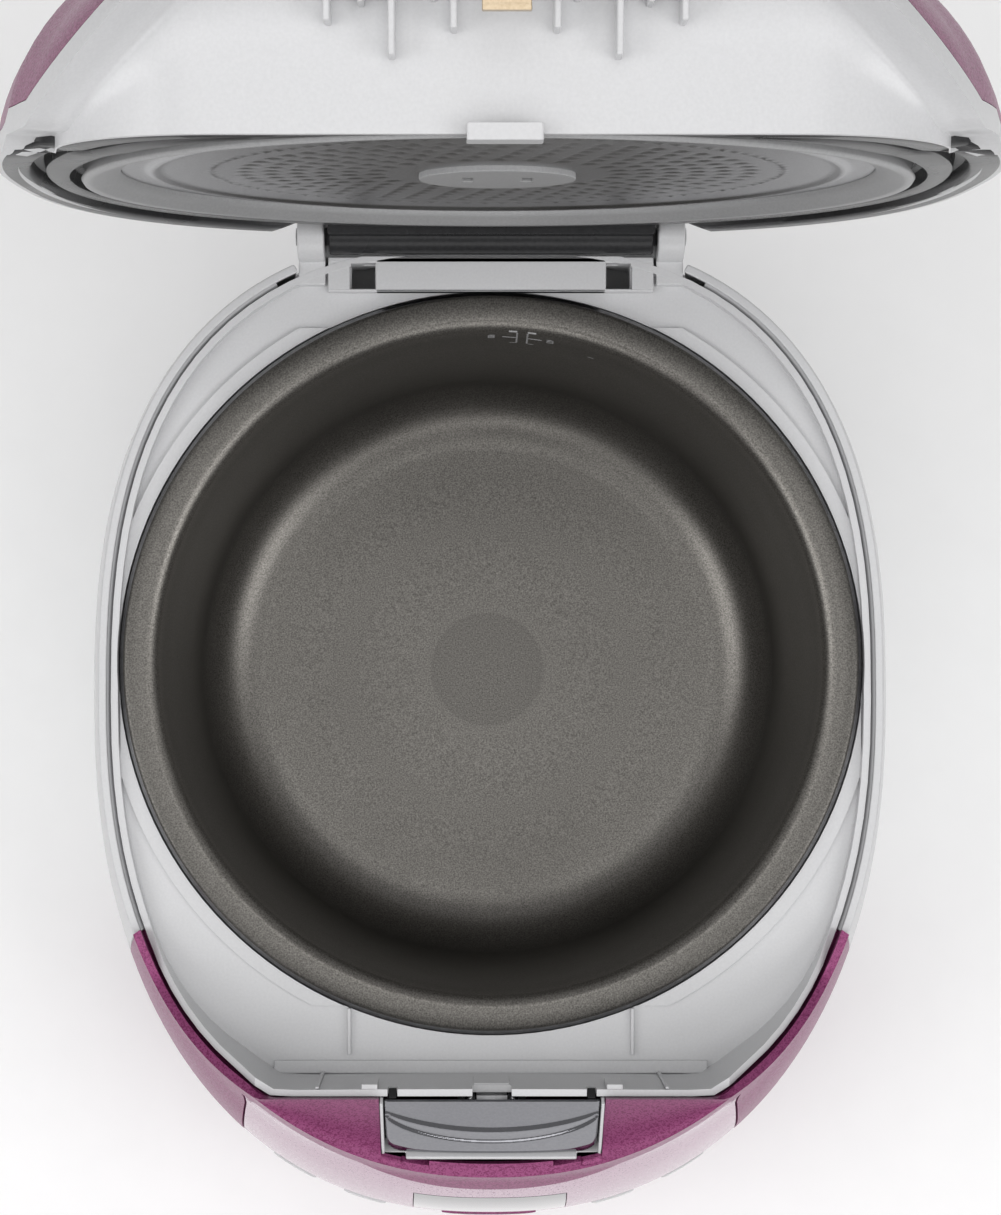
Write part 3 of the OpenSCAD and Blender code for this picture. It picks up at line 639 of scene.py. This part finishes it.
# Control panel film with its openings, display lens and keys
KEY_BANDS = [(-14, 14), (-42, -29), (-62, -49), (29, 42), (49, 62)]
panel_x = both_sides(spaced([0, 14, 21.75, 29, 42, 49, 62, PANEL_X - 0.35], 1.6))
panel_z = spaced([PANEL_LOW + 0.4, 104, 113, 120.25, 147.75, PANEL_FLAT], 2.5)
panel_xm, panel_zm = middles(panel_x), middles(panel_z) + [PANEL_FLAT + 1] * RISE_STEPS


def in_panel(i, j):
    x, z = panel_xm[j], panel_zm[i]
    in_key = 104 < z < 113 and any(a < x < b for a, b in KEY_BANDS)
    return not in_key and not (120 < z < 148 and abs(x) < 22)


def panel_grid(d):
    rows = [[wall_point(x, z, d) for x in panel_x] for z in panel_z]
    for k in range(1, RISE_STEPS + 1):
        share = k / RISE_STEPS
        rows.append([wall_point(x, lerp(PANEL_FLAT, panel_top(x) - 0.4, share), d) for x in panel_x])
    return rows


panel_out, panel_inner = panel_grid(0.2), panel_grid(2.2)
panel = make_piece("control_panel_fine", *skin_mesh(panel_out, panel_inner, keep=in_panel), at_body,
                   "body", FINISH["panel_film"], "panel_film", ["control_panel"])
bevel(panel, 0.25, 2, 50)


def patch(name, x0, x1, z0, z1, d0, d1, body, material, slot, node, crown=0.0):
    """A rounded tile that follows the front's curve."""
    xs, zs = spaced([x0, x1], 1.2), spaced([z0, z1], 1.2)

    def depth(x, z):
        u, v = (2 * x - x0 - x1) / (x1 - x0), (2 * z - z0 - z1) / (z1 - z0)
        return d0 + crown * max(abs(u) ** 6, abs(v) ** 4)

    outer = [[front(x / HALF_W, z, depth(x, z)) for x in xs] for z in zs]
    inner = [[front(x / HALF_W, z, d1) for x in xs] for z in zs]
    tile = make_piece(name, *skin_mesh(outer, inner), at_body, body, material, slot, [node])
    bevel(tile, 0.25, 2, 50)


patch("display_lens_fine", -21.6, 21.6, 120.4, 147.6, 0.2, 1.8, "body", FINISH["display"], "display",
      "display_lens")
for key, (x0, x1), look in [("start", (-14, 14), "purple_metallic"), ("menu", (-42, -29), "white_plastic"),
                            ("timer", (-62, -49), "white_plastic"), ("keep_warm", (29, 42), "white_plastic"),
                            ("cancel", (49, 62), "white_plastic")]:
    patch("key_" + key + "_fine", x0 + 0.5, x1 - 0.5, 104.5, 112.5, -0.6, 3.0, key + "_key",
          FINISH[look], look, "key_" + key, crown=0.35)


# Lid cover and rim, with exact angles at the corners of the front edge
def angle_of(x):
    return math.degrees(math.acos((x / HALF_W) ** 1.15))


corners = [angle_of(x) for x in (SEAM_X, 96, 65)]
lid_t = spaced([0, 40, 90, 140, 180, *[180 + c for c in corners], 270, *[360 - c for c in reversed(corners)],
                360], 2.0)[:-1]
dome_rows = [k / 26 for k in range(27)]
lid_out = [[lid_skin(t, lerp(band_angle(t), 88.4, s)) for t in lid_t] for s in dome_rows]
lid_inner = [[lid_skin(t, lerp(band_angle(t), 88.4, s), WALL) for t in lid_t] for s in dome_rows]
cover = make_piece("lid_cover_fine", *skin_mesh(lid_out, lid_inner, wrap=True, cap=True), at_lid,
                   "lid", FINISH["purple_metallic"], "purple_metallic", ["lid_cover"], angle=50)


def cut_round(obj, centre, normal, radius, depth):
    """Cuts a round hole through a piece."""
    points, faces = lathe([(0.0, -depth), (radius, -depth), (radius, depth), (0.0, depth)], 96)
    mesh = bpy.data.meshes.new("cutter")
    turn = Vector(normal).to_track_quat("Z", "Y")
    mesh.from_pydata([tuple(turn @ Vector(p) / 1000 + Vector(centre)) for p in points], [], faces)
    cutter = bpy.data.objects.new("cutter", mesh)
    bpy.context.scene.collection.objects.link(cutter)
    mod = obj.modifiers.new("hole", "BOOLEAN")
    mod.operation = "DIFFERENCE"
    mod.solver = "EXACT"
    mod.object = cutter
    evaluated = obj.evaluated_get(bpy.context.evaluated_depsgraph_get())
    cut = bpy.data.meshes.new_from_object(evaluated)
    obj.modifiers.clear()
    obj.data = cut
    bpy.data.objects.remove(cutter)
    smooth_shade(obj, 50)


VENT_TILT = math.radians(-8)


def at_vent(p):
    y = p[1] * math.cos(VENT_TILT) - p[2] * math.sin(VENT_TILT)
    z = p[1] * math.sin(VENT_TILT) + p[2] * math.cos(VENT_TILT)
    return at_lid((p[0], y + 40, z + 66.5))


vent_centre = Vector(at_vent((0, 0, 0)))
vent_normal = (Vector(at_vent((0, 0, 10))) - vent_centre).normalized()
cut_round(cover, vent_centre, vent_normal, 25.2, 14)


def rim_row(t, share, d):
    return lid_skin(t, band_angle(t) * share, d)


def lift(p, h):
    return (p[0], p[1], p[2] + h)


def rim_wall(t, d=0.0):
    """Lower border of the white wall round the recess; behind the recess it is a short return."""
    p, e = rim_lip(t), lid_edge(t)
    w = ease((107 - abs(e[0])) / 5.5) if is_front(t) else 0.0
    h = lerp(e[2] + 3.0, 0.9, w)
    return (p[0], p[1] + d * w, h)


RIM_SHARES = (0.25, 0.5, 0.75, 0.97)
rim_out = [[rim_wall(t) for t in lid_t], [lerp(rim_wall(t), rim_lip(t), 0.55) for t in lid_t],
           [lerp(rim_wall(t), rim_lip(t), 0.9) for t in lid_t],
           [lerp(rim_lip(t), lid_edge(t), 0.08) for t in lid_t],
           [lerp(rim_lip(t), lid_edge(t), 0.5) for t in lid_t], [lid_edge(t) for t in lid_t]]
rim_out += [[rim_row(t, s, 0) for t in lid_t] for s in RIM_SHARES]
rim_inner = [[rim_wall(t, 2.0) for t in lid_t],
             [lerp(rim_wall(t, 2.0), rim_lip(t), 0.5) for t in lid_t],
             [lift(rim_lip(t), 1.2) for t in lid_t],
             [lift(lerp(rim_lip(t), lid_edge(t), 0.1), 1.8) for t in lid_t],
             [lift(lerp(rim_lip(t), lid_edge(t), 0.5), 1.8) for t in lid_t],
             [lift(rim_row(t, 0, 2), 1.8) for t in lid_t]]
rim_inner += [[rim_row(t, s, 2) if s > 0.6 else lift(rim_row(t, s, 2), 1.8 * (1 - s / 0.75)) for t in lid_t]
              for s in RIM_SHARES]
make_piece("lid_rim_fine", *skin_mesh(rim_out, rim_inner, wrap=True), at_lid, "lid",
           FINISH["white_plastic"], "white_plastic", ["lid_rim", "lid_frame"], angle=50)

# Ribs that hang from the recess wall round the latch strike
rib_points, rib_faces = [], []
for x, low in [(34.5, 21.5), (28, 25), (22, 15), (10, 20), (14, 26)]:
    for side in (-1, 1):
        deep = 7.0 if x != 14 else 1.0
        add_block(rib_points, rib_faces, (side * x - 0.7, RECESS_Y - deep, low),
                  (side * x + 0.7, RECESS_Y + 1.0, FASCIA_RISE + 0.6))
lid_ribs = make_piece("lid_ribs", rib_points, rib_faces, at_lid, "lid",
                      FINISH["white_plastic"], "white_plastic")
bevel(lid_ribs, 0.45, 3)

# Dark inner cover: runs from the gasket's groove out to the lid's edge
def cover_outer(t):
    """Outer border of the dark cover and its height."""
    p, e = rim_lip(t), lid_edge(t)
    w = ease((104 - abs(e[0])) / 5.0) if is_front(t) else 0.0
    k = 1 - 0.8 / HALF_W
    out = (e[0] * k, CENTRE_Y + (e[1] - CENTRE_Y) * k, e[2] - 0.25)
    return lerp(out, (p[0], max(p[1], RECESS_Y) + 2.3, 1.0), w)


COVER_ROWS = [(0.0, 0.9), (0.015, 0.3), (0.05, 0.0), (0.30, 0.0), (0.33, 0.5), (0.36, 3.4), (0.45, 3.8),
              (0.50, 3.6), (0.53, 0.9), (0.56, 0.5), (0.80, 0.4), (0.86, 0.7), (0.90, 3.8), (1.0, 4.6)]


def cover_point(t, s, h, d=0.0):
    o = cover_outer(t)
    a = math.atan2(o[1], o[0])
    inner = (97.6 * math.cos(a), 97.6 * math.sin(a))
    base = lerp(o[2], 1.0, ease(s / 0.5))
    x, y = lerp(o[0], inner[0], s), lerp(o[1], inner[1], s)
    return (x, y, base + h + d)


cover_low = [[cover_point(t, s, h) for t in lid_t] for s, h in COVER_ROWS]
cover_up = [[cover_point(t, s, h, 1.4) for t in lid_t] for s, h in COVER_ROWS]
make_piece("inner_cover_fine", *skin_mesh(cover_up, cover_low, wrap=True), at_lid, "lid",
           FINISH["dark_plastic"], "dark_plastic", ["inner_cover"], angle=40)
liner_profile = [(97.6, 5.4), (97.6, 8.6), (84.0, 8.6), (84.0, 7.6), (96.8, 7.6), (96.8, 5.4)]
make_piece("inner_cover_liner", *lathe(liner_profile, 192), at_lid, "lid",
           FINISH["dark_plastic"], "dark_plastic", angle=40)

# Pot: rolled flange, lip brightened by a painted highlight, tapering wall, fillet and slightly crowned floor
def arc(cx, cy, r, a0, a1, n):
    return [(cx + r * math.cos(math.radians(a0 + (a1 - a0) * k / n)),
             cy + r * math.sin(math.radians(a0 + (a1 - a0) * k / n))) for k in range(n + 1)]


pot_inside = [(0.0, POT_FLOOR + 0.9), (18, POT_FLOOR + 0.8), (40, POT_FLOOR + 0.5), (62, POT_FLOOR)]
pot_inside += arc(70.5, POT_FLOOR + 20, 20, -90, 0, 22)
pot_inside += [(91.8, 110), (93.6, 140), (95.0, FLANGE_Z - 4), (95.4, FLANGE_Z - 2.2)]
pot_inside += [(96.4, FLANGE_Z - 0.9)]
pot_inside += [(97.6, FLANGE_Z - 0.25), (98.4, FLANGE_Z), (101, FLANGE_Z)]
pot_rim = [(103.9, FLANGE_Z), (104.7, FLANGE_Z - 0.3), (105.0, FLANGE_Z - 1.0), (104.7, FLANGE_Z - 1.7),
           (103.9, FLANGE_Z - 2.0), (99.2, FLANGE_Z - 2.0), (97.9, FLANGE_Z - 2.8)]
pot_outside = [(97.2, FLANGE_Z - 4.5), (93.9, 110)] + arc(70.5, POT_FLOOR + 20, 22.2, 0, -90, 18)
pot_outside += [(40, POT_FLOOR - 2.2), (0.0, POT_FLOOR - 2.2)]
# The coating's colour carries painted shade down the wall and painted highlights on a ring of the fillet and
# on the lip; it is also darker at the floor's middle
COATING_WITH_PAINTED_LIGHT = FINISH["non_stick"].copy()
paint_ring_light_and_shade(COATING_WITH_PAINTED_LIGHT, [(0, 0.58), (18.0, 0.58), (18.6, 0.68), (74, 0.72), (80, 1.0), (90, 0.62),
                         (94.6, 0.62), (95.2, 1.0), (97.8, 1.0), (98.6, 0.62), (110, 0.60)])
make_piece("inner_pot_fine", *lathe(pot_inside + pot_rim + pot_outside, 256), at_body, "pot",
           COATING_WITH_PAINTED_LIGHT, "non_stick", ["inner_pot"], angle=60)


def wall_r(z):
    return 90.5 + (z - 86) * (95.0 - 90.5) / (160 - 86)


def strip(points, faces, x0, x1, z0, z1, proud=0.12):
    """Adds a thin raised tile on the rear of the pot's wall, for its level marks."""
    a = len(points)
    for d in (proud, -0.4):
        for z in (z0, z1):
            for x in (x0, x1):
                r = wall_r(z) - d
                points.append((x, math.sqrt(r * r - x * x), z))
    faces += [(a, a + 1, a + 3, a + 2), (a + 4, a + 6, a + 7, a + 5), (a, a + 4, a + 5, a + 1),
              (a + 2, a + 3, a + 7, a + 6), (a, a + 2, a + 6, a + 4), (a + 1, a + 5, a + 7, a + 3)]


SEGMENTS = {"1": "bc", "2": "abged", "3": "abgcd", "4": "fgbc", "5": "afgcd", "6": "afgedc"}


def numeral(points, faces, digit, x, z, w=2.0, h=3.6, t=0.42):
    """Adds a plain numeral drawn with straight strokes, read from the front of the pot."""
    strokes = {"a": (0, w, h - t, h), "g": (0, w, (h - t) / 2, (h + t) / 2), "d": (0, w, 0, t),
               "f": (0, t, h / 2, h), "b": (w - t, w, h / 2, h),
               "e": (0, t, 0, h / 2), "c": (w - t, w, 0, h / 2)}
    for s in SEGMENTS[digit]:
        x0, x1, z0, z1 = strokes[s]
        strip(points, faces, x + x0, x + x1, z + z0, z + z1)


mark_points, mark_faces = [], []
for line_x, side, labels in [(7.6, -1, ["2", "4", "6"]), (10.6, 1, ["1", "2", "3"]), (28.0, 1, ["2", "4"])]:
    top = 118 + 14 * len(labels)
    strip(mark_points, mark_faces, line_x - 0.25, line_x + 0.25, 122, top)
    for k, label in enumerate(labels):
        z = 124 + 14 * k + 2
        for part, length in ((0, 4.2), (7, 2.4)):
            x0, x1 = sorted((line_x, line_x + side * length))
            strip(mark_points, mark_faces, x0, x1, z + part, z + part + 0.5)
        numeral(mark_points, mark_faces, label, line_x + (5.6 if side > 0 else -8.4), z - 1.4)
make_piece("pot_level_marks", mark_points, mark_faces, at_body, "pot",
           FINISH["silicone"], "silicone")

# Detachable plate: satin disc with a pressed ring, rows of dimples and a ring of beads
PLATE_H = 4.2


def plate_height(r, a):
    """How far the plate's face is pressed towards the pot at a radius and angle."""
    h = 0.9 * math.exp(-((r - 80.5) / 1.3) ** 2)
    bead = math.cos(a * 90) if 65.5 < r < 68.5 else -1.0
    h += 0.35 * max(0.0, bead) * math.exp(-((r - 67) / 0.8) ** 2)
    if 26 < r < 62:
        row = (r - 26) / 6.0
        k = math.floor(row)
        count = 24 + 6 * k
        across = math.cos(a * count + k * math.pi / 2)
        along = math.sin(math.pi * (row - k))
        h -= 0.45 * max(0.0, across) ** 1.5 * along ** 2
    return h


plate_r = spaced([18.6, 26, 62, 65.5, 68.5, 76, 86], 0.75) + [87.2, 87.8, 88.0]
PLATE_STEPS = 384
plate_low = [[(r * math.cos(2 * math.pi * k / PLATE_STEPS), r * math.sin(2 * math.pi * k / PLATE_STEPS),
               PLATE_H - plate_height(r, 2 * math.pi * k / PLATE_STEPS) + (0.4 if r > 87.9 else 0))
              for k in range(PLATE_STEPS)] for r in plate_r]
plate_up = [[(p[0], p[1], PLATE_H + 1.0) for p in row] for row in plate_low]
plate_points, plate_faces = skin_mesh(plate_up, plate_low, wrap=True)
make_piece("inner_plate_fine", plate_points, plate_faces, at_lid, "inner_plate",
           FINISH["aluminium"], "aluminium", ["inner_plate"], angle=60)


# Open button: chrome tile with a crescent step across it
SLOPE = math.radians(46.8)
BUTTON_HALF, BUTTON_LOW = 29.4, 25.5


def at_button(p):
    y = p[1] * math.cos(SLOPE) - p[2] * math.sin(SLOPE)
    z = p[1] * math.sin(SLOPE) + p[2] * math.cos(SLOPE)
    return at_body((p[0], y + EDGE_Y - 1.4, z + DECK_Z + 28))


def button_half(y):
    """Half width of the button, drawn in round its lower corners."""
    r = 6.0
    low = -BUTTON_LOW + r
    return BUTTON_HALF if y > low else BUTTON_HALF - r + math.sqrt(max(0.0, r * r - (low - y) ** 2))


def crescent(u):
    """Heights on the slope of the crescent's upper and lower arcs, at a share u of the half width."""
    return -4.0 - 8.5 * (1 - u * u) ** 0.9, -4.6 - 14.2 * (1 - u * u) ** 0.62


def button_face(u, y):
    upper, lower = crescent(min(0.999, abs(u)))
    dish = -0.55 + 0.5 * ease((upper - y) / 2.2) * ease((y - lower) / max(0.8, upper - lower))
    below = ease((lower - y) / 0.8)
    edge_drop = 0.25 * max(0.0, (abs(u) - 0.96) / 0.04) ** 2
    lower_drop = 0.3 * max(0.0, (-y - BUTTON_LOW + 2.0) / 2.0) ** 2
    return dish * (1 - below) + below * (-0.1 - 0.05 * (lower - y)) - edge_drop - lower_drop


button_u = [k / 48 for k in range(-48, 49)]
button_y = [-BUTTON_LOW + BUTTON_LOW * (k / 60) for k in range(61)]
face_grid = [[(u * button_half(y), y, button_face(u, y)) for u in button_u] for y in button_y]
back_grid = [[(u * button_half(y), y, -1.25) for u in button_u] for y in button_y]
# The button's chrome is darkened as painted shade
make_piece("open_button_fine", *skin_mesh(face_grid, back_grid), at_button, "open_button",
           SHADED_CHROME, "chrome", ["open_button"], angle=60)
ARM_X, ARM_W, PIN_Y, PIN_Z = 27.3, 2.1, -3.4, -2.6
arm_points, arm_faces = [], []
for side in (-1, 1):
    low = (side * ARM_X - ARM_W / 2, -6, -5.6)
    high = (side * ARM_X + ARM_W / 2, -0.6, -2.2)
    add_block(arm_points, arm_faces, low, high)
    x0, x1 = sorted((side * ARM_X, side * (ARM_X + 3.4)))
    add_rod(arm_points, arm_faces, x0, x1, PIN_Y, PIN_Z, 1.2)
arms = make_piece("open_button_arms", arm_points, arm_faces, at_button, "open_button",
                  FINISH["black_plastic"], "black_plastic")
bevel(arms, 0.2, 2)
stem_points, stem_faces = [], []
add_block(stem_points, stem_faces, (-3, -132.5, 167), (3, -122, 169.4))
add_block(stem_points, stem_faces, (-3, -132.5, 169.0), (3, -130.5, 179.6))
stem = make_piece("open_button_stem", stem_points, stem_faces, at_body, "open_button",
                  FINISH["white_plastic"], "white_plastic")
bevel(stem, 0.3, 2)

# Bosses, ribs and steps moulded into the deck's front and rear
detail_points, detail_faces = [], []


def block(x0, x1, y0, y1, z0, z1):
    add_block(detail_points, detail_faces, (x0, y0, z0), (x1, y1, z1))


for side in (-1, 1):
    block(side * 33.6 - 2.2, side * 33.6 + 2.2, -117.3, -115.8, 178, 192)
    block(side * 48.0 - 0.5, side * 48.0 + 0.5, -117.3, -116.6, 160, 191)
    block(side * 40.5 - 0.5, side * 40.5 + 0.5, -112, -98.6, 159.8, 161.9)
block(-5.0, 5.0, -117.3, -116.7, 170, 183.6)
block(-62, 62, -117.3, -113.6, 159.8, 161.2)
block(-32.8, 32.8, 106, 115.8, 160.6, 163.5)
block(-46.4, 46.4, 106, 106.8, 160.6, 163.5)
block(-46.4, 46.4, 114.2, 115.8, 160.6, 163.5)
for side in (-1, 1):
    x0, x1 = sorted((side * 40.2, side * 46.4))
    block(x0, x1, 106.6, 114.4, 160.6, 163.5)
    x0, x1 = sorted((side * 47.2, side * 54.8))
    block(x0, x1, 108, 126.5, 158, 163.5)
details = make_piece("deck_details", detail_points, detail_faces, at_body, "body",
                     FINISH["white_plastic"], "white_plastic")
bevel(details, 0.4, 3, 35)


# Gutters that close the gap between the deck and the outer walls
def deck_point(t):
    p, x = oval(t, DECK_Z, 3.4), oval(t, DECK_Z)[0]
    if not (is_front(t) and abs(x) <= SEAM_X):
        return (p[0], p[1])
    inset = 0.3 + 2.9 * ease((abs(x) - 58) / 14)
    e = edge(x)
    r = math.hypot(e[0], e[1] - CENTRE_Y)
    return (e[0] * (1 - inset / r), e[1] + (CENTRE_Y - e[1]) * inset / r)


def wall_line(t):
    """Inner face of the outer wall at the height of the deck."""
    p, x = oval(t, DECK_Z, 2.3), oval(t, DECK_Z)[0]
    if not (is_front(t) and abs(x) <= SEAM_X):
        return (p[0], p[1], 164.2)
    e = edge(x)
    r = math.hypot(e[0], e[1] - CENTRE_Y)
    return (e[0] * (1 - 0.4 / r), e[1] + (CENTRE_Y - e[1]) * 0.4 / r, DECK_Z + rise(x) - 0.8)


def gutter(name, angles, depth, material, slot):
    outer, inner = [], []
    for s in (0.0, 0.35, 0.7, 1.0):
        row = []
        for t in angles:
            w, d = wall_line(t), deck_point(t)
            row.append((lerp(w[0], d[0], s), lerp(w[1], d[1], s), w[2] - depth * ease(s / 0.8)))
        outer.append(row)
        inner.append([(p[0], p[1], p[2] - 0.8) for p in row])
    return make_piece(name, *skin_mesh(inner, outer), at_body, "body", material, slot, angle=50)


gutter("deck_gutter", spaced([-seam_t + 0.3, 62], 2.0), 3.2,
       FINISH["white_plastic"], "white_plastic")
gutter("deck_gutter_left", spaced([118, 180 + seam_t - 0.3], 2.0), 3.2,
       FINISH["white_plastic"], "white_plastic")
gutter("fascia_gutter", spaced([-seam_t - 0.3, -60], 1.5), 7.0, FINISH["purple_metallic"], "purple_metallic")
gutter("fascia_gutter_left", spaced([-120, -180 + seam_t + 0.3], 1.5), 7.0, FINISH["purple_metallic"],
       "purple_metallic")


# ---------------------------------------------------------------- studio
def area_light(name, location, size, watts, target=(0, 0, 0.15), colour=(1, 1, 1), spread=180):
    data = bpy.data.lights.new(name, "AREA")
    data.shape = "RECTANGLE"
    data.size, data.size_y = size
    data.energy = watts
    data.color = colour
    data.spread = math.radians(spread)
    light = bpy.data.objects.new(name, data)
    light.location = location
    light.rotation_mode = "QUATERNION"
    light.rotation_quaternion = (Vector(target) - Vector(location)).to_track_quat("-Z", "Y")
    bpy.context.scene.collection.objects.link(light)
    return light


area_light("overhead softbox", (0.0, 0.1, 1.9), (1.3, 1.3), 10)
area_light("left softbox", (-1.2, -0.3, 1.3), (1.0, 1.0), 9)
area_light("right softbox", (1.2, -0.5, 1.3), (1.0, 1.0), 10)
area_light("front softbox", (0.0, -1.5, 1.2), (1.4, 0.8), 6)

world = bpy.data.worlds.new("studio")
world.use_nodes = True
world.node_tree.nodes["Background"].inputs["Color"].default_value = (1.0, 1.0, 1.0, 1)
world.node_tree.nodes["Background"].inputs["Strength"].default_value = 0.32
bpy.context.scene.world = world
bpy.context.scene.view_settings.view_transform = "Standard"

FLOOR = 3.0
floor_mesh = bpy.data.meshes.new("floor")
floor_mesh.from_pydata([(-FLOOR, -FLOOR, 0), (FLOOR, -FLOOR, 0), (FLOOR, FLOOR, 0), (-FLOOR, FLOOR, 0)],
                       [], [(0, 1, 2, 3)])
floor = bpy.data.objects.new("floor", floor_mesh)
floor.location = (0, 0, -0.0005)
floor_mesh.materials.append(surface("pale floor", (0.94, 0.94, 0.94), (0.96, 0.96, 0.96), (0.6, 0.7),
                                    grain=60, cloud=3, bump=0.0))
bpy.context.scene.collection.objects.link(floor)
